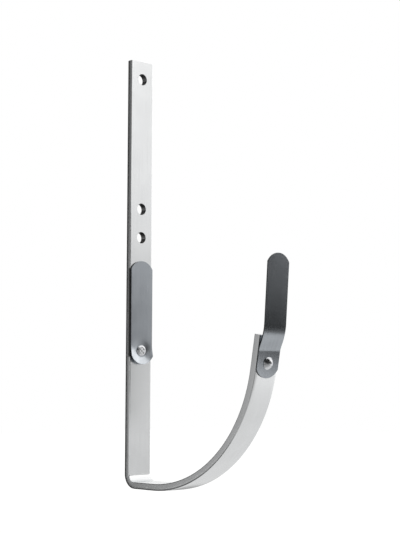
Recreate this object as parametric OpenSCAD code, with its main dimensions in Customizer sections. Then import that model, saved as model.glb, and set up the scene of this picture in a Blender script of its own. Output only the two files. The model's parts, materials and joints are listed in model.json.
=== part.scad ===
// Gutter bracket: a flat steel bar bent into a long arm and a quarter-round
// hook, with two riveted clips that are bent over the gutter's edges by hand.
// +Z runs up the arm, +X points from the arm to the front of the hook, and Y
// is the width of the bar. The origin is the centre of the lowest fixing hole,
// on the back face of the arm.

/* [Flat bar] */
// Width of the flat bar
bar_w = 25; // [20:1:40]
// Thickness of the flat bar
bar_t = 6; // [5:0.5:8]
// Rounding along the long edges of the bar
edge_r = 0.8; // [0.4:0.1:1.5]

/* [Arm and fixing holes] */
// Height of the lowest fixing hole above the gutter seat
seat_drop = 213.5; // [205:0.5:260]
// Distance between the two lower fixing holes
pair_pitch = 25.5; // [20:0.5:40]
// Distance from the lowest fixing hole up to the top one
top_pitch = 142.5; // [80:0.5:200]
// Distance from the top fixing hole to the cut end of the arm
end_margin = 16; // [12:0.5:30]
// Diameter of the fixing holes
hole_d = 10; // [6:0.5:12]

/* [Hook] */
// Inside radius of the tight bend under the arm
bend_r = 6.5; // [4:0.5:15]
// Length of the straight seat between the tight bend and the sweep
seat_l = 24.5; // [15:0.5:40]
// Inside radius of the sweep that carries the gutter
sweep_r = 117.5; // [100:0.5:130]
// Angle that the sweep turns the bar through
sweep_angle = 80; // [70:0.5:90]
// Length of the straight tip that carries the front clip
tip_l = 28; // [22:0.5:35]

/* [Clips] */
// Width of both clips
clip_w = 24.5; // [18:0.5:25]
// Thickness of both clips
clip_t = 1; // [0.6:0.1:1.5]
// Radius of the rounded clip ends
clip_end_r = 14; // [12.5:0.5:20]
// Distance from a clip's lower end to its rivet
clip_margin = 12; // [10:0.5:16]
// Overall length of the rear clip
rear_clip_l = 91; // [60:1:100]
// Height of the rear rivet above the gutter seat
rear_rivet_h = 113.5; // [90:0.5:120]
// Distance of the front rivet from the start of the straight tip
front_rivet_x = 5.5; // [5:0.5:8]
// Straight foot of the front clip, from its rounded lower end to its first bend
foot_l = 15; // [13:0.5:20]
// Angle that the front clip kicks outwards
kick_angle = 15; // [10:0.5:20]
// Straight ramp between the two bends of the front clip
ramp_l = 10.5; // [6:0.5:14]
// Angle that the front clip turns back at its second bend
back_angle = 21; // [15:0.5:25]
// Straight upper part of the front clip, up to its rounded end
upper_l = 54.5; // [30:0.5:70]
// Inside radius of the two bends in the front clip
clip_bend_r = 10; // [4:0.5:14]

/* [Rivets] */
// Diameter of the rivet shank
rivet_d = 6; // [4:0.5:6]
// Diameter of the domed rivet head
head_d = 10.5; // [8:0.5:12]
// Height of the domed rivet head
head_h = 3.2; // [2:0.1:3.8]
// Diameter of the flush countersunk tail
tail_d = 9; // [7.5:0.5:10]
// Depth of the flush countersunk tail
tail_h = 1.8; // [1:0.1:2.5]
// Gap between a rivet and its hole, all round
rivet_play = 0.05; // [0.02:0.01:0.1]

/* [Hidden] */
$fn = 180;

// How far a cutting tool stands out of the face that it cuts
overcut = 1;
// How far each end of a bend laps into the straight beside it
lap = 0.02;
// Size of a bend's section as a share of the section of the straights
bend_scale = 0.999;
arm_top = top_pitch + end_margin;
arm_straight = arm_top + seat_drop - bend_r;
fixing_heights = [0, pair_pitch, top_pitch];
sweep_centre = [bar_t + bend_r + seat_l, 0, sweep_r - seat_drop];
// How far a rounded clip end stands beyond the straight sides
end_rise = clip_end_r - sqrt(pow(clip_end_r, 2) - pow(clip_w / 2, 2));
rivet_above_side = clip_margin - end_rise;

// A bent strip is a list of steps, each [straight length, inside radius, bend
// angle]. It runs along +Z, and a positive angle turns it towards +X.
bar_path = [[arm_straight, bend_r, 90], [seat_l, sweep_r, sweep_angle], [tip_l, 0, 0]];
rear_path = [[rear_clip_l - 2 * end_rise, 0, 0]];
front_path = [[foot_l, clip_bend_r, kick_angle], [ramp_l, clip_bend_r, -back_angle], [upper_l, 0, 0]];

// From the start of a bend to its axis, signed by the side it turns towards
function axis_x(step, t) = sign(step[2]) * (step[1] + t / 2);

// Moves what follows to where the first n steps of a path end
module after(path, n, t) {
    if (n == 0) children();
    else after(path, n - 1, t)
        translate([axis_x(path[n - 1], t), 0, path[n - 1][0]])
            rotate([0, path[n - 1][2], 0])
                translate([-axis_x(path[n - 1], t), 0, 0]) children();
}

// Angle that a bend needs to lap into the straight beside it
function lap_angle(step, t) = lap / abs(axis_x(step, t)) * 180 / PI;

// Sweeps a section of thickness t along the straights and bends of a path. The
// bends are a hair slimmer than the straights that they lap into.
module bent_strip(path, t) {
    for (i = [0 : len(path) - 1]) after(path, i, t) {
        linear_extrude(path[i][0]) children();
        if (path[i][2] != 0) {
            extra = lap_angle(path[i], t);
            translate([axis_x(path[i], t), 0, path[i][0]])
                rotate([90, 0, path[i][2] > 0 ? 180 : 0])
                    rotate_extrude(angle = abs(path[i][2]) + 2 * extra, start = -extra)
                        translate([abs(axis_x(path[i], t)), 0]) scale(bend_scale) children();
        }
    }
}

// Section of the flat bar, with its four rolled edges rounded
module bar_section() {
    square([bar_t - 2 * edge_r, bar_w], center = true);
    square([bar_t, bar_w - 2 * edge_r], center = true);
    for (x = [-1, 1], y = [-1, 1])
        translate([x * (bar_t / 2 - edge_r), y * (bar_w / 2 - edge_r)]) circle(edge_r);
}

// Rounded end of a clip, standing on +Z above its straight sides
module clip_end() {
    rotate([90, 0, 90]) translate([0, 0, -clip_t / 2]) linear_extrude(clip_t)
        intersection() {
            translate([0, end_rise - clip_end_r]) circle(clip_end_r);
            translate([-clip_w / 2, 0]) square([clip_w, end_rise]);
        }
}

// A clip that follows a path from its lower end, with its rivet hole
module clip_strip(path) {
    difference() {
        union() {
            mirror([0, 0, 1]) clip_end();
            bent_strip(path, clip_t) square([clip_t, clip_w], center = true);
            after(path, len(path), clip_t) clip_end();
        }
        translate([-clip_t / 2 - overcut, 0, rivet_above_side]) rotate([0, 90, 0])
            cylinder(d = rivet_d + 2 * rivet_play, h = clip_t + 2 * overcut);
    }
}

// Shank and flared tail of a rivet, with z = 0 where its head meets the clip.
// For the hole and countersink in the bar, play widens the same shape and past
// carries the flare on beyond the inner face of the bar.
module rivet_body(play = 0, past = 0) {
    grip = clip_t + bar_t;
    flare = (tail_d - rivet_d) / 2 / tail_h;
    rotate_extrude() polygon([
        [0, 0], [rivet_d / 2 + play, 0], [rivet_d / 2 + play, tail_h - grip],
        [tail_d / 2 + play + past * flare, -grip - past], [0, -grip - past]
    ]);
}

// Domed rivet head
module rivet_head() {
    dome_r = (pow(head_d / 2, 2) + pow(head_h, 2)) / (2 * head_h);
    rotate_extrude() intersection() {
        translate([0, head_h - dome_r]) circle(dome_r);
        square([head_d / 2, head_h]);
    }
}

// Frame of the rear rivet: z = 0 on the outside of the rear clip
module at_rear_rivet() {
    translate([bar_t + clip_t, 0, rear_rivet_h - seat_drop]) rotate([0, 90, 0]) children();
}

// Frame of the straight tip: x runs up the tip, z = 0 is its inner face
module at_tip() {
    translate(sweep_centre) rotate([0, -sweep_angle, 0]) translate([0, 0, -sweep_r]) children();
}

// Frame of the front rivet: z = 0 on the outside of the front clip
module at_front_rivet() {
    at_tip() translate([front_rivet_x, 0, -bar_t - clip_t]) rotate([180, 0, 0]) children();
}

// The whole bent bar, drilled for the fixings and for both rivets
module bracket_bar() color([0.80, 0.81, 0.82]) difference() {
    translate([bar_t / 2, 0, arm_top]) rotate([180, 0, 0])
        bent_strip(bar_path, bar_t) bar_section();
    for (z = fixing_heights)
        translate([-overcut, 0, z]) rotate([0, 90, 0])
            cylinder(d = hole_d, h = bar_t + 2 * overcut);
    at_rear_rivet() rivet_body(rivet_play, overcut);
    at_front_rivet() rivet_body(rivet_play, overcut);
}

// The flat clip on the inner face of the arm
module rear_clip() color([0.55, 0.57, 0.58])
    translate([bar_t + clip_t / 2, 0, rear_rivet_h - seat_drop - rivet_above_side])
        clip_strip(rear_path);

// The kicked-out clip on the outer face of the tip
module front_clip() color([0.50, 0.51, 0.53])
    at_tip() translate([front_rivet_x - rivet_above_side, 0, -bar_t - clip_t / 2])
        rotate([0, 90, 0]) clip_strip(front_path);

module rear_rivet() color([0.72, 0.73, 0.75]) at_rear_rivet() {
    rivet_body();
    rivet_head();
}

module front_rivet() color([0.72, 0.73, 0.75]) at_front_rivet() {
    rivet_body();
    rivet_head();
}

bracket_bar();
rear_clip();
rear_rivet();
front_clip();
front_rivet();
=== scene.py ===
"""Long-arm gutter bracket: a bent flat bar with two riveted clips, in drawn and sheet steel."""

import json
from math import copysign, cos, exp, pi, radians, sin, sqrt, tan

import bmesh
import bpy
from bpy.props import FloatProperty, FloatVectorProperty, IntProperty, PointerProperty
from mathutils import Matrix, Vector


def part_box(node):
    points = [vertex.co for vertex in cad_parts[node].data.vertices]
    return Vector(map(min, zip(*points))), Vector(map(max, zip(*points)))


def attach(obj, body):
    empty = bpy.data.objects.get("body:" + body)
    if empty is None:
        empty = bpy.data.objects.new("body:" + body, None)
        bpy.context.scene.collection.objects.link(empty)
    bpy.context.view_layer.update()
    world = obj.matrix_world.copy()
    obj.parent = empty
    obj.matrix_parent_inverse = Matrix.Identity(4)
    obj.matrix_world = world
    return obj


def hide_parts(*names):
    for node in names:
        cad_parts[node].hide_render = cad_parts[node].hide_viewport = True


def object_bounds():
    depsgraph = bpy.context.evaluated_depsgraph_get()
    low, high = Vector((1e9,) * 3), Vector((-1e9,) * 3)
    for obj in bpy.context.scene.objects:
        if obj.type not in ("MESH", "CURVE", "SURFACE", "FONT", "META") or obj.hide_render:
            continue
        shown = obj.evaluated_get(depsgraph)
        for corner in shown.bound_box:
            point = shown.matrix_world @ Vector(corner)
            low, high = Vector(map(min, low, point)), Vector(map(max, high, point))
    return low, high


bl_info = {
    "name": "Gutter Bracket",
    "version": (1, 0, 0),
    "blender": (4, 5, 0),
    "location": "3D View > Sidebar > Bracket",
    "description": "Builds a bent flat-bar gutter bracket with two riveted clips",
    "category": "Add Mesh",
}

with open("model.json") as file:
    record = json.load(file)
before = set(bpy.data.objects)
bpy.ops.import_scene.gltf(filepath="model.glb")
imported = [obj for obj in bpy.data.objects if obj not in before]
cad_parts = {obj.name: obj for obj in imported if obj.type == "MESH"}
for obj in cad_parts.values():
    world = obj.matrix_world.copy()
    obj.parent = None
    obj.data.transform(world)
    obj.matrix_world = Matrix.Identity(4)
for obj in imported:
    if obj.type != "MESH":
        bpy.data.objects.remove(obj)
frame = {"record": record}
CAD_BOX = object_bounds()

# Everything here is in metres. A flat strip lies along X with its width on Y and
# its thickness on Z, and is then bent along its route in the XZ plane.
MM = 0.001
# The one body that every piece rides on.
BODY = "root"
# Names of what the meshes store for their finish.
FLAT_PLACE = "flat_place"
CUT_FACE = "cut_face"
# Mask of the band of painted shade on the bar beside the rear clip, which stands in for the clip's contact
# shadow.
PAINTED_SHADE_BAND = "painted_shade_band"
# Edges sharper than this stay sharp in the shading.
SHARP_ANGLE = radians(30)
# Dividing and spinning merge points closer than WELD. Points closer than NEAR count as the
# same in a test, and are merged after a boolean.
WELD = 1e-7
NEAR = 1e-6
# How far a cutter stands out of the face that it cuts.
OVERCUT = 0.3 * MM
# How finely the round parts and the bends are made.
HOLE_SEGMENTS = 64
CLIP_END_SEGMENTS = 160
DOME_RINGS = 18
BAR_BEND_STEP = radians(2.5)
CLIP_BEND_STEP = radians(1.5)


def node_size(node, axis):
    """Size of a CAD node along an axis, to a hundredth of a millimetre."""
    low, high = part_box(node)
    return round(high[axis] - low[axis], 5)


def node_edge(node, axis, side):
    """Lowest (0) or highest (1) place of a CAD node along an axis."""
    return round(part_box(node)[side][axis], 5)


def mount(name):
    """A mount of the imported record."""
    return next(m for m in frame["record"]["mounts"] if m["name"] == name)


def length(name, description, default):
    """A length in metres."""
    return FloatProperty(name=name, description=description, default=default, precision=4,
                         subtype="DISTANCE", unit="LENGTH")


def angle(name, description, default):
    """An angle, given here in degrees."""
    return FloatProperty(name=name, description=description, default=radians(default),
                         subtype="ANGLE", unit="ROTATION")


def share(name, description, default):
    """A plain number from 0 to 1."""
    return FloatProperty(name=name, description=description, default=default, min=0, max=1,
                         subtype="FACTOR")


def power(name, description, default):
    """A power that gives a curve its shape."""
    return FloatProperty(name=name, description=description, default=default, min=1)


def level(name, description, default):
    """A strength of light, where 1 is the white of the backdrop."""
    return FloatProperty(name=name, description=description, default=default, min=0)


def colour(name, description, default):
    """A linear colour."""
    return FloatVectorProperty(name=name, description=description, default=default, size=3,
                               min=0, max=1, subtype="COLOR")


class BracketBarSizes(bpy.types.PropertyGroup):
    """Sizes of the bent flat bar."""
    width: length("Width", "Width of the flat bar", node_size("bracket_bar", 1))
    thickness: length("Thickness", "Thickness of the flat bar", node_edge("rear_clip", 0, 0))
    top: length("Top", "Height of the cut end above the lowest hole", node_edge("bracket_bar", 2, 1))
    bottom: length("Bottom", "Height of the underside", node_edge("bracket_bar", 2, 0))
    rolled_edge: length("Rolled edge", "Rounding along the four long edges", 0.7 * MM)
    edge_roll: length("Edge roll", "How far the sides roll off towards the outer face", 0.3 * MM)
    face_roll: length("Face roll", "How far the outer face rolls off along its edges", 0.2 * MM)
    roll_width: length("Roll width", "Width of the rolled-off strip of the outer face", 4 * MM)
    sheared_edge: length("Sheared edge", "Break along the edges of the cut ends", 0.18 * MM)
    bend_radius: length("Bend radius", "Inside radius of the tight bend", 6.5 * MM)
    seat_length: length("Seat", "Straight seat after the tight bend", 24.5 * MM)
    sweep_radius: length("Sweep radius", "Inside radius of the sweep", 117.5 * MM)
    sweep_angle: angle("Sweep angle", "Angle that the sweep turns through", 80)
    tip_length: length("Tip", "Straight tip that carries the front clip", 28 * MM)
    hole_rim: length("Hole rim", "Broken edge round each fixing hole", 0.12 * MM)


class BracketClipSizes(bpy.types.PropertyGroup):
    """Sizes of the two thin clips."""
    width: length("Width", "Width of both clips", node_size("rear_clip", 1))
    thickness: length("Thickness", "Thickness of both clips", node_size("rear_clip", 0))
    end_radius: length("End radius", "Radius of the rounded ends", 14 * MM)
    rear_low: length("Rear low end", "Height of the rear clip's lower end", node_edge("rear_clip", 2, 0))
    rear_length: length("Rear length", "Overall length of the rear clip", node_size("rear_clip", 2))
    rivet_margin: length("Rivet margin", "From a clip's lower end to its rivet", 12 * MM)
    foot: length("Foot", "Straight foot of the front clip", 15 * MM)
    kick_angle: angle("Kick", "Angle that the front clip kicks outwards", 15)
    ramp: length("Ramp", "Straight ramp between the two bends", 10.5 * MM)
    back_angle: angle("Back", "Angle that the front clip turns back", 21)
    upper: length("Upper part", "Straight upper part of the front clip", 54.5 * MM)
    kick_radius: length("Kick radius", "Centre radius of the first bend", 18 * MM)
    back_radius: length("Back radius", "Centre radius of the second bend", 42 * MM)
    sharp_radius: length("Sharp radius", "Centre radius that the straights are measured for", 10.5 * MM)
    rim: length("Rim", "Rounding of the stamped rim", 0.08 * MM)
    # Width of the band of painted shade on the bar beside the rear clip's edges, which stands in for its
    # contact shadow.
    painted_shade_band: length("Crevice", "Width of the oil line beside the rear clip", 0.8 * MM)
    held: share("Held", "Share of the head's radius under which the rear clip lies on the bar", 0.72)
    lift: length("Lift", "How far the rear clip stands off the bar away from its rivet", 0.5 * MM)
    lift_reach: length("Lift reach", "Distance over which it comes off the bar", 5 * MM)
    spring: length("Spring", "How much further its low end springs off the bar", 1.15 * MM)
    spring_reach: length("Spring reach", "Distance from the head at which it has sprung this far", 8 * MM)
    fold_half: length("Fold", "Half of the height, about the rivet, over which the spring fades out", 5 * MM)
    fold_soft: length("Fold softness", "Rounding of the fold round the rivet head", 1.2 * MM)
    curl: length("Curl", "How far the very edge of its low end curls up", 0.5 * MM)
    curl_start: length("Curl start", "From the rivet down to where the curl starts", 3 * MM)


class BracketRivetSizes(bpy.types.PropertyGroup):
    """Sizes of the two rivets."""
    shank: length("Shank", "Diameter of the shank", 6 * MM)
    head: length("Head", "Diameter of the domed head", node_size("rear_rivet", 1))
    head_height: length("Head height", "Height of the domed head",
                        node_edge("rear_rivet", 0, 1) - node_edge("rear_clip", 0, 1))
    tail: length("Tail", "Diameter of the flush tail", 9 * MM)
    tail_depth: length("Tail depth", "Depth of the flared tail", 1.8 * MM)
    play: length("Play", "Gap round the shank in its hole", 0.05 * MM)
    tip_place: length("Front place", "From the start of the tip to the front rivet", 5.5 * MM)
    around: IntProperty(name="Segments", description="Segments round each rivet", default=72, min=24)
    land: length("Land", "Straight edge of a head under its dome", 0.35 * MM)
    soft_edge: length("Soft edge", "Broken edge of heads and tails", 0.1 * MM)
    dimple: length("Dimple", "Depth of the dent that the press leaves in a tail", 0.12 * MM)
    front_dome: power("Front dome", "Power of the front dome, which is flatter as it rises", 2.2)
    rear_dome: power("Rear dome", "Power of the rear dome, which is flatter as it rises", 8)
    rear_head: length("Rear head", "Diameter of the rear head, which is a little smaller", 9.9 * MM)
    rear_crush: share("Rear crush", "Share of the head's height that is left on the rear rivet", 0.5)
    rear_dents: length("Rear dents", "Depth of the hammer marks on the rear head", 0.09 * MM)
    dents_across: length("Dents across", "Distance between the hammer marks one way", 4.4 * MM)
    dents_along: length("Dents along", "Distance between the hammer marks the other way", 3.6 * MM)


class BracketFinish(bpy.types.PropertyGroup):
    """Colours and gloss of the three steels."""
    bar: colour("Bar", "Bright drawn flat bar", (0.800, 0.810, 0.816))
    clip: colour("Clips", "Duller thin sheet", (0.385, 0.409, 0.436))
    rivet: colour("Rivets", "Semi-bright rivets", (0.700, 0.712, 0.728))
    bar_roughness: share("Bar roughness", "Roughness of the drawn bar", 0.20)
    clip_roughness: share("Clip roughness", "Roughness of the clips", 0.22)
    rivet_roughness: share("Rivet roughness", "Roughness of the rivets", 0.24)


class BracketStudio(bpy.types.PropertyGroup):
    """Camera, floor, world, cards and softboxes."""
    azimuth: angle("Azimuth", "Camera azimuth, where 0 looks along +Y", 46.444)
    pitch: angle("Pitch", "How far the camera looks up", 4.975)
    roll: angle("Roll", "Camera roll", 0.228)
    distance: length("Distance", "From the camera to the aim", 1.0924)
    focal: FloatProperty(name="Focal length", description="Camera lens", default=87.8, unit="CAMERA")
    aim_shift: FloatVectorProperty(name="Aim shift", description="From the middle of the part to the aim",
                                   default=(-0.0022, -0.0024, 0), size=3, subtype="TRANSLATION")
    floor_drop: length("Floor drop", "From the underside of the part to the floor", 0.25)
    floor_size: length("Floor size", "Side of the floor", 12)
    floor_grey: share("Floor grey", "Grey of the floor's paint", 0.5)
    floor_glow: level("Floor glow", "Glow that brings the painted floor up to the backdrop's white", 0.55)
    white: level("White", "Level of the white room, backdrop and floor", 1)
    right_wall: level("Right wall", "Lowest level of the wall on the right", 0.61)
    left_flag: level("Left flag", "Level of the upper part of the flag on the left", 0.24)
    left_foot: level("Left foot", "Level of the lower part of the flags on the left and behind", 0.43)
    black: level("Black", "Level of the black flags", 0.02)
    softbox: level("Softbox", "Level of the softboxes", 1.08)
    softbox_colour: colour("Softbox colour", "Colour of the softboxes", (1, 0.97, 0.94))
    softbox_distance: length("Softbox distance", "From the softboxes to the rear rivet", 5)


PIECE_GROUPS = {
    "bracket_bar_sizes": BracketBarSizes,
    "bracket_clip_sizes": BracketClipSizes,
    "bracket_rivet_sizes": BracketRivetSizes,
    "bracket_finish": BracketFinish,
    "bracket_studio": BracketStudio,
}


# ---------------------------------------------------------------- bent routes


class Route:
    """Centre line of a bent strip in the XZ plane. Each step is a straight, the centre
    radius of the bend after it, and the bend's angle, positive to the left."""

    def __init__(self, start, heading, steps):
        self.start, self.heading, self.steps = start, heading, steps

    def length(self):
        """Flat length of the whole route."""
        return sum(straight + radius * abs(turn) for straight, radius, turn in self.steps)

    def at(self, s):
        """Place, heading and left normal at the flat distance s."""
        place, heading = Vector((self.start[0], 0, self.start[1])), self.heading
        for number, (straight, radius, turn) in enumerate(self.steps):
            last = number == len(self.steps) - 1
            run = s if last else min(s, straight)
            place += run * Vector((cos(heading), 0, sin(heading)))
            s -= run
            if last or s <= 0:
                break
            arc = radius * abs(turn)
            side = copysign(radius, turn)
            centre = place + side * Vector((-sin(heading), 0, cos(heading)))
            heading += turn * min(s / arc, 1)
            place = centre - side * Vector((-sin(heading), 0, cos(heading)))
            s = s - arc
            if s <= 0:
                break
        return place, heading, Vector((-sin(heading), 0, cos(heading)))

    def stations(self, step):
        """Flat distances at which the strip is divided so that it can bend."""
        found, s = [], 0
        for straight, radius, turn in self.steps:
            s += straight
            if turn:
                count = max(2, round(abs(turn) / step))
                arc = radius * abs(turn)
                found += [s + arc * i / count for i in range(count + 1)]
                s += arc
        return found


def bar_route():
    """Route of the bar from the cut end of the arm to the tip."""
    bar = bpy.context.scene.bracket_bar_sizes
    half = bar.thickness / 2
    arm = bar.top - bar.bottom - bar.thickness - bar.bend_radius
    return Route((half, bar.top), radians(-90), [
        (arm, bar.bend_radius + half, radians(90)),
        (bar.seat_length, bar.sweep_radius + half, bar.sweep_angle),
        (bar.tip_length, 0, 0),
    ])


def tip_start(route):
    """Flat distance at which the straight tip of the bar starts."""
    return route.length() - route.steps[-1][0]


def end_rise():
    """How far a rounded clip end stands beyond the straight sides."""
    clip = bpy.context.scene.bracket_clip_sizes
    return clip.end_radius - sqrt(clip.end_radius ** 2 - (clip.width / 2) ** 2)


def rear_clip_route():
    """Route of the rear clip, upwards on the inner face of the arm."""
    scene = bpy.context.scene
    clip, bar = scene.bracket_clip_sizes, scene.bracket_bar_sizes
    start = (bar.thickness + clip.thickness / 2, clip.rear_low + end_rise())
    return Route(start, radians(90), [(clip.rear_length - 2 * end_rise(), 0, 0)])


def front_clip_route():
    """Route of the front clip, up the outer face of the tip and on above it."""
    scene = bpy.context.scene
    clip, bar, rivet = scene.bracket_clip_sizes, scene.bracket_bar_sizes, scene.bracket_rivet_sizes
    route = bar_route()
    above_side = clip.rivet_margin - end_rise()
    place, heading, left = route.at(tip_start(route) + rivet.tip_place - above_side)
    place -= left * (bar.thickness + clip.thickness) / 2
    kick_run = (clip.kick_radius - clip.sharp_radius) * tan(clip.kick_angle / 2)
    back_run = (clip.back_radius - clip.sharp_radius) * tan(clip.back_angle / 2)
    return Route((place.x, place.z), heading, [
        (clip.foot - kick_run, clip.kick_radius, -clip.kick_angle),
        (clip.ramp - kick_run - back_run, clip.back_radius, clip.back_angle),
        (clip.upper - back_run, 0, 0),
    ])


# ---------------------------------------------------------------- mesh helpers


def smooth_step(x):
    """Goes smoothly from 0 to 1 as x does, and stays level beyond both."""
    x = min(1, max(0, x))
    return x * x * (3 - 2 * x)


def divide(bm, places, axis=(1, 0, 0)):
    """Cuts every face of a flat strip at the given distances along an axis."""
    direction = Vector(axis)
    for place in places:
        bmesh.ops.bisect_plane(bm, geom=bm.verts[:] + bm.edges[:] + bm.faces[:], dist=WELD,
                               plane_co=direction * place, plane_no=direction)


def edges_where(bm, test):
    """Edges for which the test on both ends' places holds."""
    return [e for e in bm.edges if test(e.verts[0].co, e.verts[1].co)]


def round_edges(bm, edges, offset, segments):
    """Rounds edges with a bevel of the given width."""
    bmesh.ops.bevel(bm, geom=edges, offset=offset, offset_type="OFFSET", affect="EDGES",
                    segments=segments, profile=0.5, material=-1, clamp_overlap=True)


def spun(profile, around):
    """A closed solid of revolution about Z, from (radius, height) points that start and
    end on the axis."""
    bm = bmesh.new()
    verts = [bm.verts.new((radius, 0, height)) for radius, height in profile]
    edges = [bm.edges.new(pair) for pair in zip(verts, verts[1:])]
    bmesh.ops.spin(bm, geom=verts + edges, cent=(0, 0, 0), axis=(0, 0, 1), dvec=(0, 0, 0),
                   angle=2 * pi, steps=around, use_merge=True)
    bmesh.ops.remove_doubles(bm, verts=bm.verts, dist=WELD)
    bmesh.ops.recalc_face_normals(bm, faces=bm.faces)
    return bm


def temporary(bm, name):
    """A helper object made from a bmesh, which is freed."""
    mesh = bpy.data.meshes.new(name)
    bm.to_mesh(mesh)
    bm.free()
    helper = bpy.data.objects.new(name, mesh)
    bpy.context.scene.collection.objects.link(helper)
    return helper


def cut_away(bm, cutters):
    """A new bmesh: bm less each cutter, which are all freed."""
    body = temporary(bm, "flat_body")
    tools = [temporary(cutter, "flat_cutter") for cutter in cutters]
    for tool in tools:
        cut = body.modifiers.new("cut", "BOOLEAN")
        cut.operation, cut.solver, cut.object = "DIFFERENCE", "EXACT", tool
    graph = bpy.context.evaluated_depsgraph_get()
    result = bmesh.new()
    result.from_object(body, graph)
    for helper in [body] + tools:
        mesh = helper.data
        bpy.data.objects.remove(helper)
        bpy.data.meshes.remove(mesh)
    if not result.faces:
        raise RuntimeError("a cut left nothing of the strip")
    bmesh.ops.remove_doubles(result, verts=result.verts, dist=NEAR)
    return result


def mark_flat(bm, cut_share):
    """Stores where each point lies on the flat strip, and how much of a cut each face is."""
    place = bm.verts.layers.float_vector.new(FLAT_PLACE)
    cut = bm.faces.layers.float.new(CUT_FACE)
    bm.normal_update()
    for vert in bm.verts:
        vert[place] = vert.co
    for face in bm.faces:
        face[cut] = cut_share(face)


def rear_clip_span():
    """Where the straight sides of the rear clip start and end, along the flat bar."""
    bar, clip = bpy.context.scene.bracket_bar_sizes, bpy.context.scene.bracket_clip_sizes
    end = bar.top - clip.rear_low - end_rise()
    return end - clip.rear_length + 2 * end_rise(), end


def mark_painted_shade_band(bm):
    """Stores how far the flat bar is painted dark along the sides of the rear clip, a painted shade that
    stands in for the clip's contact shadow.
    """
    bar, clip = bpy.context.scene.bracket_bar_sizes, bpy.context.scene.bracket_clip_sizes
    start, end = rear_clip_span()
    fade = 2 * clip.painted_shade_band
    painted_shade_band = bm.verts.layers.float.new(PAINTED_SHADE_BAND)
    for vert in bm.verts:
        x, y, z = vert.co
        beside = start - clip.painted_shade_band < x < end + clip.painted_shade_band and z > 0
        outwards = min(1, max(0, (abs(y) - clip.width / 2 + fade) / fade))
        upwards = min(1, z / (bar.thickness / 2 - clip.painted_shade_band))
        vert[painted_shade_band] = float(beside) * outwards * upwards


def bend(bm, route):
    """Bends a flat strip along its route."""
    for vert in bm.verts:
        place, _, left = route.at(vert.co.x)
        vert.co = place + Vector((0, vert.co.y, 0)) + left * vert.co.z


def finish_piece(bm, name, node, material):
    """Makes the finished piece that stands for a CAD node."""
    bm.normal_update()
    for face in bm.faces:
        face.smooth = True
    for edge in bm.edges:
        edge.smooth = edge.is_manifold and edge.calc_face_angle(0) < SHARP_ANGLE
    mesh = bpy.data.meshes.new(name)
    bm.to_mesh(mesh)
    bm.free()
    mesh.materials.append(material)
    piece = bpy.data.objects.new(name, mesh)
    bpy.context.scene.collection.objects.link(piece)
    weighted = piece.modifiers.new("even_normals", "WEIGHTED_NORMAL")
    weighted.keep_sharp = True
    weighted.weight = 90
    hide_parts(node)
    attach(piece, BODY)
    return piece


# ---------------------------------------------------------------- materials


class Value:
    """A shader value. Arithmetic on it adds Math nodes to its tree."""

    def __init__(self, socket):
        self.socket = socket

    def _math(self, operation, *terms):
        node = self.socket.id_data.nodes.new("ShaderNodeMath")
        node.operation = operation
        for slot, term in zip(node.inputs, terms):
            join(term, slot)
        return Value(node.outputs[0])

    def __add__(self, other):
        return self._math("ADD", self, other)

    def __mul__(self, other):
        return self._math("MULTIPLY", self, other)

    def larger(self, other):
        """The larger of this value and another."""
        return self._math("MAXIMUM", self, other)

    __radd__ = __add__
    __rmul__ = __mul__


def join(term, slot):
    """Links a value to a socket, or sets the socket to a number, colour or vector."""
    if isinstance(term, Value):
        slot.id_data.links.new(term.socket, slot)
    else:
        slot.default_value = term


class Nodes:
    """Adds nodes to an emptied node tree."""

    def __init__(self, tree):
        self.tree = tree
        tree.nodes.clear()

    def add(self, kind, settings, sockets, output=0):
        """A node of a kind, with its settings first and then its sockets' values or links."""
        node = self.tree.nodes.new(kind)
        for name, setting in settings.items():
            setattr(node, name, setting)
        for name, term in sockets.items():
            join(term, node.inputs[name])
        return Value(node.outputs[output]) if node.outputs else None

    def noise(self, place, scale, detail=2.0, roughness=0.5):
        """Noise from 0 to 1 at a place."""
        return self.add("ShaderNodeTexNoise", {}, {
            "Vector": place, "Scale": scale, "Detail": detail, "Roughness": roughness})

    def stretched(self, place, scale):
        """A place stretched by a scale along each axis."""
        return self.add("ShaderNodeMapping", {}, {"Vector": place, "Scale": scale})

    def eased(self, value, low, high):
        """A smooth step from 0 to 1 as the value goes from low to high."""
        return self.add("ShaderNodeMapRange", {"interpolation_type": "SMOOTHSTEP"},
                        {"Value": value, "From Min": low, "From Max": high})

    def along(self, place, direction):
        """How far a place lies along a direction."""
        return self.add("ShaderNodeVectorMath", {"operation": "DOT_PRODUCT"},
                        {0: place, 1: direction}, "Value")

    def mixed(self, share_of_b, a, b):
        """Two colours mixed."""
        # The node's colour sockets share their names with others, so they go by number.
        colour_a, colour_b, colour_out = 6, 7, 2
        a, b = (term if isinstance(term, Value) else (*term, 1) for term in (a, b))
        return self.add("ShaderNodeMix", {"data_type": "RGBA"},
                        {"Factor": share_of_b, colour_a: a, colour_b: b}, colour_out)


def tinted(base, amount):
    """A colour made lighter or darker."""
    return tuple(min(1, max(0, part * amount)) for part in base)


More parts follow.
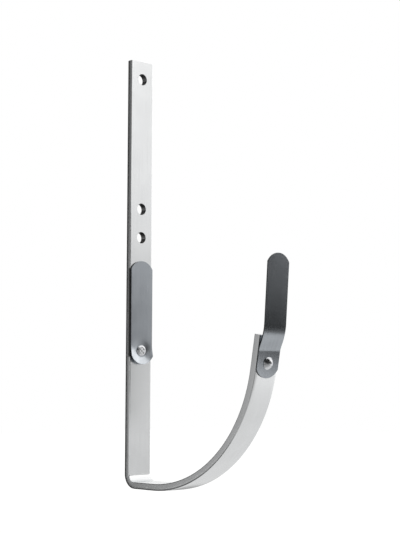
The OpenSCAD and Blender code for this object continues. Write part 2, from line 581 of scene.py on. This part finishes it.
def steel(name, base, roughness, draw_scale, draw_depth, contrast=0.03, cut_tone=0.36, painted_shade_tone=None):
    """Steel with fine lines along the strip, faint cloudiness, and dull cut faces. The noise
    has draw_scale lines to a metre along each axis, and the tones are shares of the base."""
    cloud_scale, grit_scale, fine_ratio = 55, 2600, 3.3
    line_share, dark_noise, light_noise = 0.55, 0.35, 0.65
    fine_height, grit_height, grit_roughness, grit_cover = 0.5, 1.5, 0.20, 0.15
    material = bpy.data.materials.new(name)
    material.use_nodes = True
    nodes = Nodes(material.node_tree)
    flat = nodes.add("ShaderNodeAttribute", {"attribute_name": FLAT_PLACE}, {}, "Vector")
    cut = nodes.add("ShaderNodeAttribute", {"attribute_name": CUT_FACE}, {}, "Fac")
    fine_scale = tuple(fine_ratio * part for part in draw_scale)
    lines = nodes.noise(nodes.stretched(flat, draw_scale), 1, detail=3, roughness=0.6)
    fine = nodes.noise(nodes.stretched(flat, fine_scale), 1)
    cloud = nodes.noise(flat, cloud_scale, detail=3)
    grit = nodes.noise(flat, grit_scale, roughness=0.7)
    tone = nodes.eased(line_share * lines + (1 - line_share) * cloud, dark_noise, light_noise)
    body = nodes.mixed(tone, tinted(base, 1 - contrast), tinted(base, 1 + contrast))
    body = nodes.mixed(cut * (1 - grit_cover + grit_cover * grit), body, tinted(base, cut_tone))
    # Where the mask is set, the colour darkens to painted shade, which stands in for a contact shadow.
    if painted_shade_tone is not None:
        painted_shade = nodes.add("ShaderNodeAttribute", {"attribute_name": PAINTED_SHADE_BAND}, {}, "Fac")
        body = nodes.mixed(painted_shade, body, tinted(base, painted_shade_tone))
    # The lines and clouds lie on both sides of the given roughness, and grit adds to it.
    rough = roughness * (0.9 + 0.12 * lines + 0.10 * cloud) + grit_roughness * cut * grit
    height = lines + fine_height * fine + grit_height * cut * grit
    bump = nodes.add("ShaderNodeBump", {}, {"Height": height, "Strength": 0.5, "Distance": draw_depth})
    shader = nodes.add("ShaderNodeBsdfPrincipled", {}, {
        "Base Color": body, "Metallic": 1.0, "Roughness": rough, "Normal": bump})
    nodes.add("ShaderNodeOutputMaterial", {}, {"Surface": shader})
    return material


def bar_steel():
    """Bright cold-drawn flat bar, with painted shade beside the rear clip."""
    finish = bpy.context.scene.bracket_finish
    # The band beside the rear clip is painted at 0.06 of the bar's colour, a painted contact shadow of the
    # clip.
    return steel("bright drawn bar", finish.bar, finish.bar_roughness, draw_scale=(22, 1500, 1500),
                 draw_depth=0.004 * MM, painted_shade_tone=0.06)


def clip_steel():
    """Duller rolled sheet."""
    finish = bpy.context.scene.bracket_finish
    # The cut edges are painted almost black: partly the duller cut steel, and partly painted shade that
    # stands in for the shadow along the clip's edges.
    return steel("rolled clip sheet", finish.clip, finish.clip_roughness, draw_scale=(14, 900, 900),
                 draw_depth=0.002 * MM, contrast=0.07, cut_tone=0.12)


def rivet_steel():
    """Semi-bright rivet with a fine grain that has no direction."""
    finish = bpy.context.scene.bracket_finish
    return steel("set rivet", finish.rivet, finish.rivet_roughness, draw_scale=(700, 700, 700),
                 draw_depth=0.003 * MM)


# ---------------------------------------------------------------- pieces


def seated(bm, centre):
    """Turns a cutter by half a segment, so that no corner lies on an axis, and places it."""
    bmesh.ops.rotate(bm, verts=bm.verts, matrix=Matrix.Rotation(pi / HOLE_SEGMENTS, 3, "Z"))
    bmesh.ops.translate(bm, verts=bm.verts, vec=centre)
    return bm


def hole_cutter(radius, depth, rim, centre):
    """Cutter for a round hole that is as deep as a strip is thick, with broken rims."""
    half = depth / 2
    flare = rim + OVERCUT
    return seated(spun([(0, -half - OVERCUT), (radius + flare, -half - OVERCUT), (radius, -half + rim),
                        (radius, half - rim), (radius + flare, half + OVERCUT), (0, half + OVERCUT)],
                       HOLE_SEGMENTS), centre)


def rivet_cutter(depth, centre):
    """Cutter for a rivet's shank and flared tail, whose wide end is the side of +Z."""
    rivet = bpy.context.scene.bracket_rivet_sizes
    shank, tail = rivet.shank / 2 + rivet.play, rivet.tail / 2 + rivet.play
    slope = (tail - shank) / rivet.tail_depth
    half = depth / 2
    return seated(spun([(0, -half - OVERCUT), (shank, -half - OVERCUT), (shank, half - rivet.tail_depth),
                        (tail + slope * OVERCUT, half + OVERCUT), (0, half + OVERCUT)],
                       HOLE_SEGMENTS), centre)


def drawn_bar(total):
    """The straight flat bar, with rounded long edges and broken ends. Its sides and its outer
    face, which is the side of -Z, roll off a little towards the edges between them."""
    bar = bpy.context.scene.bracket_bar_sizes
    side_strips, roll_strips = 8, 5
    bm = bmesh.new()
    bmesh.ops.create_cube(bm, size=1)
    bmesh.ops.scale(bm, verts=bm.verts, vec=(total, bar.width, bar.thickness))
    bmesh.ops.translate(bm, verts=bm.verts, vec=(total / 2, 0, 0))
    round_edges(bm, edges_where(bm, lambda a, b: abs(a.x - b.x) > total / 2), bar.rolled_edge, segments=4)
    ends = edges_where(bm, lambda a, b: abs(a.x - b.x) < NEAR and min(a.x, total - a.x) < NEAR)
    round_edges(bm, ends, bar.sheared_edge, segments=2)
    side_half = bar.thickness / 2 - bar.rolled_edge
    flat_half = bar.width / 2 - bar.rolled_edge
    divide(bm, [side_half * (2 * i / side_strips - 1) for i in range(1, side_strips)], (0, 0, 1))
    for side in (-1, 1):
        strips = [side * (flat_half - bar.roll_width * i / roll_strips) for i in range(1, roll_strips + 1)]
        divide(bm, strips, (0, 1, 0))
    for vert in bm.verts:
        past = max(0, abs(vert.co.y) - flat_half + bar.roll_width) / bar.roll_width
        if abs(vert.co.y) > flat_half - NEAR:
            sunk = bar.edge_roll * (2 * min(0, vert.co.z) / bar.thickness) ** 2
            vert.co.y -= copysign(sunk, vert.co.y)
        if vert.co.z < -side_half + NEAR:
            vert.co.z += bar.face_roll * min(1, past) ** 2
    return bm


def bar_cutters(route):
    """Cutters for the three fixing holes and for both rivets, along the flat bar."""
    scene = bpy.context.scene
    bar, clip, rivet = scene.bracket_bar_sizes, scene.bracket_clip_sizes, scene.bracket_rivet_sizes
    bores = [mount(name) for name in ("top_hole", "middle_hole", "lower_hole")]
    cutters = [hole_cutter(bore["dims"]["r_mm"] * MM, bar.thickness, bar.hole_rim,
                           (bar.top - bore["pos_m"][2], 0, 0)) for bore in bores]
    rear_place = bar.top - clip.rear_low - clip.rivet_margin
    rear = rivet_cutter(bar.thickness, (0, 0, 0))
    bmesh.ops.rotate(rear, verts=rear.verts, matrix=Matrix.Rotation(pi, 3, "X"))
    bmesh.ops.translate(rear, verts=rear.verts, vec=(rear_place, 0, 0))
    front = rivet_cutter(bar.thickness, (tip_start(route) + rivet.tip_place, 0, 0))
    return cutters + [rear, front]


class BRACKET_OT_bar(bpy.types.Operator):
    """Draws, drills and bends the flat bar"""
    bl_idname = "bracket.bar"
    bl_label = "Bent bar"

    def execute(self, context):
        bar, clip = context.scene.bracket_bar_sizes, context.scene.bracket_clip_sizes
        drilled, sheared, least_along = 1, 0.35, 0.02
        route = bar_route()
        total = route.length()
        bm = drawn_bar(total)
        start, end = rear_clip_span()
        # Cuts where the painted shade beside the rear clip fades in and out.
        fades = [start - 2 * clip.painted_shade_band, start, end, end + 2 * clip.painted_shade_band]
        divide(bm, route.stations(BAR_BEND_STEP) + fades)
        bm = cut_away(bm, bar_cutters(route))

        def cut_share(face):
            """Full for the drilled holes, less for the sheared ends, and none for a face that
            hardly looks along the bar."""
            if abs(face.normal.x) < least_along:
                return 0
            middle = face.calc_center_median().x
            return sheared if min(middle, total - middle) < bar.sheared_edge else drilled

        mark_flat(bm, cut_share)
        # Marks the band of painted shade beside the rear clip.
        mark_painted_shade_band(bm)
        bend(bm, route)
        finish_piece(bm, "bent_bar", "bracket_bar", bar_steel())
        return {"FINISHED"}


def flat_clip(route, divisions, crown):
    """A flat clip with rounded ends and a rivet hole, marked for its finish. divisions are
    extra cuts along it and across it. crown gives how far its sheet is lifted at a distance
    along and across from the rivet."""
    scene = bpy.context.scene
    clip, rivet = scene.bracket_clip_sizes, scene.bracket_rivet_sizes
    start, finish = -end_rise(), route.length() + end_rise()
    stretch = finish - start - 2 * clip.end_radius
    half_segment = Matrix.Rotation(pi / CLIP_END_SEGMENTS, 3, "Z")
    bm = bmesh.new()
    bmesh.ops.create_circle(bm, cap_ends=True, radius=clip.end_radius, segments=CLIP_END_SEGMENTS)
    bmesh.ops.rotate(bm, verts=bm.verts, matrix=half_segment)
    bmesh.ops.translate(bm, verts=[v for v in bm.verts if v.co.x > 0], vec=(stretch, 0, 0))
    bmesh.ops.translate(bm, verts=bm.verts, vec=(start + clip.end_radius, 0, -clip.thickness / 2))
    for side in (-1, 1):
        bmesh.ops.bisect_plane(bm, geom=bm.verts[:] + bm.edges[:] + bm.faces[:], dist=WELD,
                               plane_co=(0, side * clip.width / 2, 0), plane_no=(0, side, 0),
                               clear_outer=True)
    sheet = bmesh.ops.extrude_face_region(bm, geom=bm.faces[:])["geom"]
    bmesh.ops.translate(bm, verts=[g for g in sheet if isinstance(g, bmesh.types.BMVert)],
                        vec=(0, 0, clip.thickness))
    bmesh.ops.recalc_face_normals(bm, faces=bm.faces)
    half = clip.thickness / 2 - NEAR
    rims = edges_where(bm, lambda a, b: abs(a.z) > half and abs(b.z) > half and a.z * b.z > 0)
    round_edges(bm, rims, clip.rim, segments=2)
    along, across = divisions
    divide(bm, sorted(set(route.stations(CLIP_BEND_STEP) + along)))
    divide(bm, across, (0, 1, 0))
    place = clip.rivet_margin - end_rise()
    # The cutter is longer than the clip is thick, so that its flared ends stay clear of it.
    hole = hole_cutter(rivet.shank / 2 + rivet.play, 5 * clip.thickness, rim=0, centre=(place, 0, 0))
    bm = cut_away(bm, [hole])
    flat_enough = 0.9
    mark_flat(bm, lambda face: float(abs(face.normal.z) < flat_enough))
    for vert in bm.verts:
        vert.co.z += crown(vert.co.x - place, vert.co.y)
    bend(bm, route)
    return bm


def sprung_lift(x, y):
    """Lift of the rear clip at a distance above its rivet and beside it, negative away from
    the bar. The rivet holds it on the bar, and its low end stands off the most."""
    clip, rivet = bpy.context.scene.bracket_clip_sizes, bpy.context.scene.bracket_rivet_sizes
    away = max(0, sqrt(x * x + y * y) - clip.held * rivet.head / 2)
    risen = 1 - exp(-(away / clip.lift_reach) ** 2)
    low_end = smooth_step((clip.fold_half - x) / (2 * clip.fold_half))
    folded = sqrt(away * away + clip.fold_soft ** 2) - clip.fold_soft
    sprung = low_end * folded / (clip.spring_reach - clip.fold_soft)
    curl_run = clip.rivet_margin - clip.curl_start
    curled = (max(0, -x - clip.curl_start) / curl_run) ** 2
    return -clip.lift * risen - clip.spring * sprung - clip.curl * curled


class BRACKET_OT_rear_clip(bpy.types.Operator):
    """Stamps the rear clip and lays it on the arm"""
    bl_idname = "bracket.rear_clip"
    bl_label = "Rear clip"

    def execute(self, context):
        step, below, above, beside = 1.25 * MM, 9, 16, 9
        place = context.scene.bracket_clip_sizes.rivet_margin - end_rise()
        along = [place + step * i for i in range(-below, above + 1)]
        across = [step * i for i in range(-beside, beside + 1)]
        bm = flat_clip(rear_clip_route(), (along, across), sprung_lift)
        finish_piece(bm, "rear_bend_over_clip", "rear_clip", clip_steel())
        return {"FINISHED"}


class BRACKET_OT_front_clip(bpy.types.Operator):
    """Stamps and bends the front clip"""
    bl_idname = "bracket.front_clip"
    bl_label = "Front clip"

    def execute(self, context):
        bm = flat_clip(front_clip_route(), ([], []), lambda x, y: 0)
        finish_piece(bm, "front_bend_over_clip", "front_clip", clip_steel())
        return {"FINISHED"}


def hammer(bm, depth):
    """Leaves shallow hammer marks on a rivet head that stands about Z."""
    rivet = bpy.context.scene.bracket_rivet_sizes
    phase_across, phase_along = 2.2, 0.6
    for vert in bm.verts:
        x, y, z = vert.co
        if z > rivet.land:
            fade = 1 - (x * x + y * y) / (rivet.head / 2) ** 2
            wave_across = cos(2 * pi * x / rivet.dents_across + phase_across)
            wave_along = cos(2 * pi * y / rivet.dents_along + phase_along)
            vert.co.z -= depth * fade * (1 + wave_across * wave_along)


def rivet_solid(head_width, dome, height):
    """A rivet about Z, with z = 0 where its head meets the clip. dome is the power of its
    head, and height is the head's height over the clip."""
    scene = bpy.context.scene
    rivet, bar, clip = scene.bracket_rivet_sizes, scene.bracket_bar_sizes, scene.bracket_clip_sizes
    foot = -bar.thickness - clip.thickness
    head, shank, tail = head_width / 2, rivet.shank / 2, rivet.tail / 2
    land, soft, dimple = rivet.land, rivet.soft_edge, rivet.dimple
    shares = [i / DOME_RINGS for i in range(DOME_RINGS + 1)]
    domed = [(head * out, land + (height - land) * (1 - out ** dome)) for out in shares]
    under = [(head, soft), (head - soft, 0), (shank, 0)]
    flared = [(shank, rivet.tail_depth + foot), (tail, soft + foot), (tail - soft, foot)]
    # The press leaves a dimple over the middle half of the tail.
    pressed = [(0.55 * tail, foot), (0.35 * tail, 0.7 * dimple + foot), (0, dimple + foot)]
    return spun(domed + under + flared + pressed, rivet.around)


class BRACKET_OT_rivets(bpy.types.Operator):
    """Sets a rivet through each clip and the bar"""
    bl_idname = "bracket.rivets"
    bl_label = "Rivets"

    def execute(self, context):
        clip, rivet = context.scene.bracket_clip_sizes, context.scene.bracket_rivet_sizes
        material = rivet_steel()
        rear = rivet_solid(rivet.rear_head, rivet.rear_dome, rivet.rear_crush * rivet.head_height)
        hammer(rear, rivet.rear_dents)
        front = rivet_solid(rivet.head, rivet.front_dome, rivet.head_height)
        for bm, name, node, route in ((rear, "rear_clip_rivet", "rear_rivet", rear_clip_route()),
                                      (front, "front_clip_rivet", "front_rivet", front_clip_route())):
            place, _, left = route.at(clip.rivet_margin - end_rise())
            outward = -left
            mark_flat(bm, lambda face: 0)
            turn = outward.to_track_quat("Z", "Y").to_matrix()
            bmesh.ops.rotate(bm, verts=bm.verts, matrix=turn)
            bmesh.ops.translate(bm, verts=bm.verts, vec=place + outward * clip.thickness / 2)
            finish_piece(bm, name, node, material)
        return {"FINISHED"}


# ---------------------------------------------------------------- stage


def plane(name, material, matrix, width, height):
    """A stage plane, turned and placed by a matrix."""
    bm = bmesh.new()
    bmesh.ops.create_grid(bm, x_segments=1, y_segments=1, size=0.5)
    bmesh.ops.scale(bm, verts=bm.verts, vec=(width, height, 1))
    bmesh.ops.transform(bm, verts=bm.verts, matrix=matrix)
    mesh = bpy.data.meshes.new(name)
    bm.to_mesh(mesh)
    bm.free()
    mesh.materials.append(material)
    made = bpy.data.objects.new(name, mesh)
    bpy.context.scene.collection.objects.link(made)
    return made


def compass(azimuth):
    """Level direction of an azimuth from +Y towards +X."""
    return Vector((sin(azimuth), cos(azimuth), 0))


def floor_material():
    """Floor that shows as white as the backdrop and keeps shadows."""
    studio = bpy.context.scene.bracket_studio
    material = bpy.data.materials.new("white floor")
    material.use_nodes = True
    nodes = Nodes(material.node_tree)
    seen = None
    for kind in ("Is Camera Ray", "Is Glossy Ray", "Is Transmission Ray"):
        ray = nodes.add("ShaderNodeLightPath", {}, {}, kind)
        seen = ray if seen is None else seen.larger(ray)
    grey = studio.floor_grey
    paint = nodes.add("ShaderNodeBsdfDiffuse", {}, {"Color": (grey, grey, grey, 1)})
    glow = nodes.add("ShaderNodeEmission", {}, {"Strength": studio.floor_glow * studio.white * seen})
    both = nodes.add("ShaderNodeAddShader", {}, {0: paint, 1: glow})
    nodes.add("ShaderNodeOutputMaterial", {}, {"Surface": both})
    return material


def card_material(name, direction, levels):
    """Card whose level changes along a direction. levels lists (distance, level) in order."""
    material = bpy.data.materials.new(name)
    material.use_nodes = True
    nodes = Nodes(material.node_tree)
    strength = levels[0][1]
    if len(levels) > 1:
        place = nodes.add("ShaderNodeTexCoord", {}, {}, "Object")
        distance = nodes.along(place, direction)
        for (low, before), (high, after) in zip(levels, levels[1:]):
            strength = nodes.eased(distance, low, high) * (after - before) + strength
    shader = nodes.add("ShaderNodeEmission", {}, {"Strength": strength})
    nodes.add("ShaderNodeOutputMaterial", {}, {"Surface": shader})
    return material


def card(name, matrix, size, direction, levels):
    """A card that shows only in the metal."""
    made = plane(name, card_material(name, direction, levels), matrix, *size)
    made.visible_camera = False
    made.visible_diffuse = False
    made.visible_shadow = False


def upright(place, facing):
    """Placing of an upright card that stands across an azimuth."""
    stood = Matrix.Rotation(-facing, 4, "Z") @ Matrix.Rotation(radians(90), 4, "X")
    return Matrix.Translation(place) @ stood


def build_world(context):
    """White room."""
    world = bpy.data.worlds.new("studio")
    context.scene.world = world
    world.use_nodes = True
    nodes = Nodes(world.node_tree)
    background = nodes.add("ShaderNodeBackground", {}, {
        "Color": (1, 1, 1, 1), "Strength": context.scene.bracket_studio.white})
    nodes.add("ShaderNodeOutputWorld", {}, {"Surface": background})


def softbox(name, aim, azimuth, elevation, size, radiance):
    """A soft rectangular lamp that faces its aim from an azimuth and an elevation."""
    studio = bpy.context.scene.bracket_studio
    toward = compass(azimuth) * cos(elevation) + Vector((0, 0, sin(elevation)))
    data = bpy.data.lights.new(name, "AREA")
    width, height = size
    data.shape, data.size, data.size_y = "RECTANGLE", width, height
    data.energy = pi * width * height * radiance
    data.color = studio.softbox_colour
    lamp = bpy.data.objects.new(name, data)
    lamp.location = aim + studio.softbox_distance * toward
    lamp.rotation_euler = toward.to_track_quat("Z", "Y").to_euler()
    bpy.context.scene.collection.objects.link(lamp)


def add_camera(scene, middle):
    """Camera that looks at the aim near the middle of the part."""
    studio = scene.bracket_studio
    turn = (Matrix.Rotation(studio.azimuth, 3, "Z") @ Matrix.Rotation(radians(90) + studio.pitch, 3, "X")
            @ Matrix.Rotation(studio.roll, 3, "Z"))
    camera = bpy.data.objects.new("camera", bpy.data.cameras.new("camera"))
    camera.data.lens = studio.focal
    camera.data.sensor_width = 36
    aim = middle + Vector(studio.aim_shift)
    camera.location = aim + turn @ Vector((0, 0, studio.distance))
    camera.rotation_euler = turn.to_euler()
    scene.collection.objects.link(camera)
    scene.camera = camera


class BRACKET_OT_stage(bpy.types.Operator):
    """Adds the camera, floor, world, cards and softboxes"""
    bl_idname = "bracket.stage"
    bl_label = "Stage"

    def execute(self, context):
        scene = context.scene
        studio = scene.bracket_studio
        low, high = CAD_BOX
        middle = (low + high) / 2
        add_camera(scene, middle)
        floor_height = low.z - studio.floor_drop
        right_side = radians(90) - studio.azimuth
        right, ahead, up = compass(right_side), compass(-studio.azimuth), Vector((0, 0, 1))

        def place(to_right, to_ahead, height):
            """A place given to the right of the part, past it, and as a height."""
            return Vector((middle.x, middle.y, 0)) + right * to_right + ahead * to_ahead + up * height

        def standing(name, at, turned, size, along, levels):
            """A card that stands at (right, ahead, height). turned is how far it is turned
            clockwise from facing the camera's left, in degrees."""
            card(name, upright(place(*at), right_side + radians(turned)), size, along, levels)

        def lying(name, at, size, along, levels):
            """A card that lies at (right, ahead), at a height over the floor."""
            where = Matrix.Translation(place(at[0], at[1], floor_height + at[2]))
            card(name, where @ Matrix.Rotation(-right_side, 4, "Z"), size, along, levels)

        plane("floor", floor_material(), Matrix.Translation(place(0, 0, floor_height)),
              studio.floor_size, studio.floor_size)
        build_world(context)
        # The wall that both clips and the inner face of the arm show.
        standing("right_wall", at=(4.828, -1.02, 0.645), turned=12.4, size=(3.15, 2.21), along=up,
                 levels=[(-0.4, 0.90), (-0.15, 0.79), (0.02, 0.66), (0.12, studio.right_wall),
                         (0.3, 0.68), (0.75, 0.96), (1.0, 0.97), (1.4, 0.84)])
        # Flags for the side faces and the rolled edges of the bar. The strip in the middle of
        # the black one is what the back of the arm shows to a camera square to it.
        standing("left_flag", at=(-1.5, -1.0, 1.2), turned=0, size=(2.7, 3.3), along=up,
                 levels=[(-0.1, studio.left_foot), (0.3, studio.left_flag)])
        standing("black_flag", at=(-0.9, 0.975, 0.9), turned=38, size=(1.96, 2.7), along=ahead,
                 levels=[(0.7, studio.black), (0.8, studio.left_flag), (0.98, studio.left_flag),
                         (1.08, studio.black)])
        standing("back_flag", at=(-0.9, -1.7, 1.4), turned=90, size=(2.4, 3.7), along=up,
                 levels=[(-0.1, studio.left_foot), (0.3, studio.black)])
        # Small flags close by, for the upper part of the front clip and for the front rivet.
        standing("clip_flag", at=(0.308, -0.052, -0.086), turned=0, size=(0.105, 0.1725), along=up,
                 levels=[(-0.172, 0.15), (-0.15, 0.08), (-0.125, studio.black), (-0.105, studio.black),
                         (-0.03, 0.22)])
        standing("rivet_flag", at=(0.128, -0.15, -0.0395), turned=51.4, size=(0.216, 0.199), along=up,
                 levels=[(0, studio.black)])
        # Cards on the floor, for the sweep, the side of the hook and the tight bend.
        lying("floor_card", at=(0, -0.4, 0.002), size=(3.0, 3.0), along=right,
              levels=[(-0.1, 0.4), (0.03, 0.78), (0.6, 0.78), (1.2, 0.95)])
        lying("far_card", at=(0, 1.35, 0.004), size=(1.6, 2.0), along=ahead,
              levels=[(0.49, 0.85), (0.7, 0.3)])
        lying("near_card", at=(0.55, -0.81, 0.004), size=(1.38, 1.7), along=ahead,
              levels=[(-0.96, 0.22), (-0.2, 0.5)])
        lying("right_card", at=(3.6, -0.45, 0.004), size=(2.7, 2.8), along=right, levels=[(0, 0.45)])
        lying("floor_flag", at=(-0.435, 0.1, 0.006), size=(0.8, 0.63), along=right, levels=[(0, 0.08)])
        lying("left_floor_flag", at=(-0.81, 0.7, 0.008), size=(1.1, 1.38), along=right,
              levels=[(0, studio.black)])
        # Softboxes that face the rear rivet. The first two light the low end of its clip, and
        # the third is a weak roof light.
        aim = place(-0.055, 0.057, -0.1)
        for name, azimuth, elevation, size, strength in (
            ("side_softbox", 26.5, 14, (1.85, 1.23), 1),
            ("top_softbox", 43, 24.5, (3.2, 0.8), 1),
            ("roof_softbox", 22, 45, (5, 2.5), 0.2),
        ):
            softbox(name, aim, radians(azimuth), radians(elevation), size, strength * studio.softbox)
        scene.view_settings.view_transform = "Standard"
        return {"FINISHED"}


# ---------------------------------------------------------------- add-on


class BRACKET_PT_sidebar(bpy.types.Panel):
    """Sizes, finish and build buttons of the gutter bracket"""
    bl_label = "Gutter bracket"
    bl_idname = "BRACKET_PT_sidebar"
    bl_space_type = "VIEW_3D"
    bl_region_type = "UI"
    bl_category = "Bracket"

    def draw(self, context):
        for operator in OPERATORS:
            self.layout.operator(operator.bl_idname)
        for name in PIECE_GROUPS:
            group = getattr(context.scene, name)
            box = self.layout.box()
            for prop in group.bl_rna.properties:
                if prop.identifier not in ("name", "rna_type"):
                    box.prop(group, prop.identifier)


OPERATORS = (BRACKET_OT_bar, BRACKET_OT_rear_clip, BRACKET_OT_front_clip, BRACKET_OT_rivets,
             BRACKET_OT_stage)
CLASSES = (*PIECE_GROUPS.values(), *OPERATORS, BRACKET_PT_sidebar)


def register():
    """Registers the classes and gives the scene its property groups."""
    for cls in CLASSES:
        bpy.utils.register_class(cls)
    for name, group in PIECE_GROUPS.items():
        setattr(bpy.types.Scene, name, PointerProperty(type=group))


def unregister():
    """Takes back what register did."""
    for name in PIECE_GROUPS:
        delattr(bpy.types.Scene, name)
    for cls in reversed(CLASSES):
        bpy.utils.unregister_class(cls)


def main():
    """Builds the bracket and its stage."""
    register()
    for step in (bpy.ops.bracket.bar, bpy.ops.bracket.rear_clip, bpy.ops.bracket.front_clip,
                 bpy.ops.bracket.rivets, bpy.ops.bracket.stage):
        step()


if __name__ == "__main__":
    main()
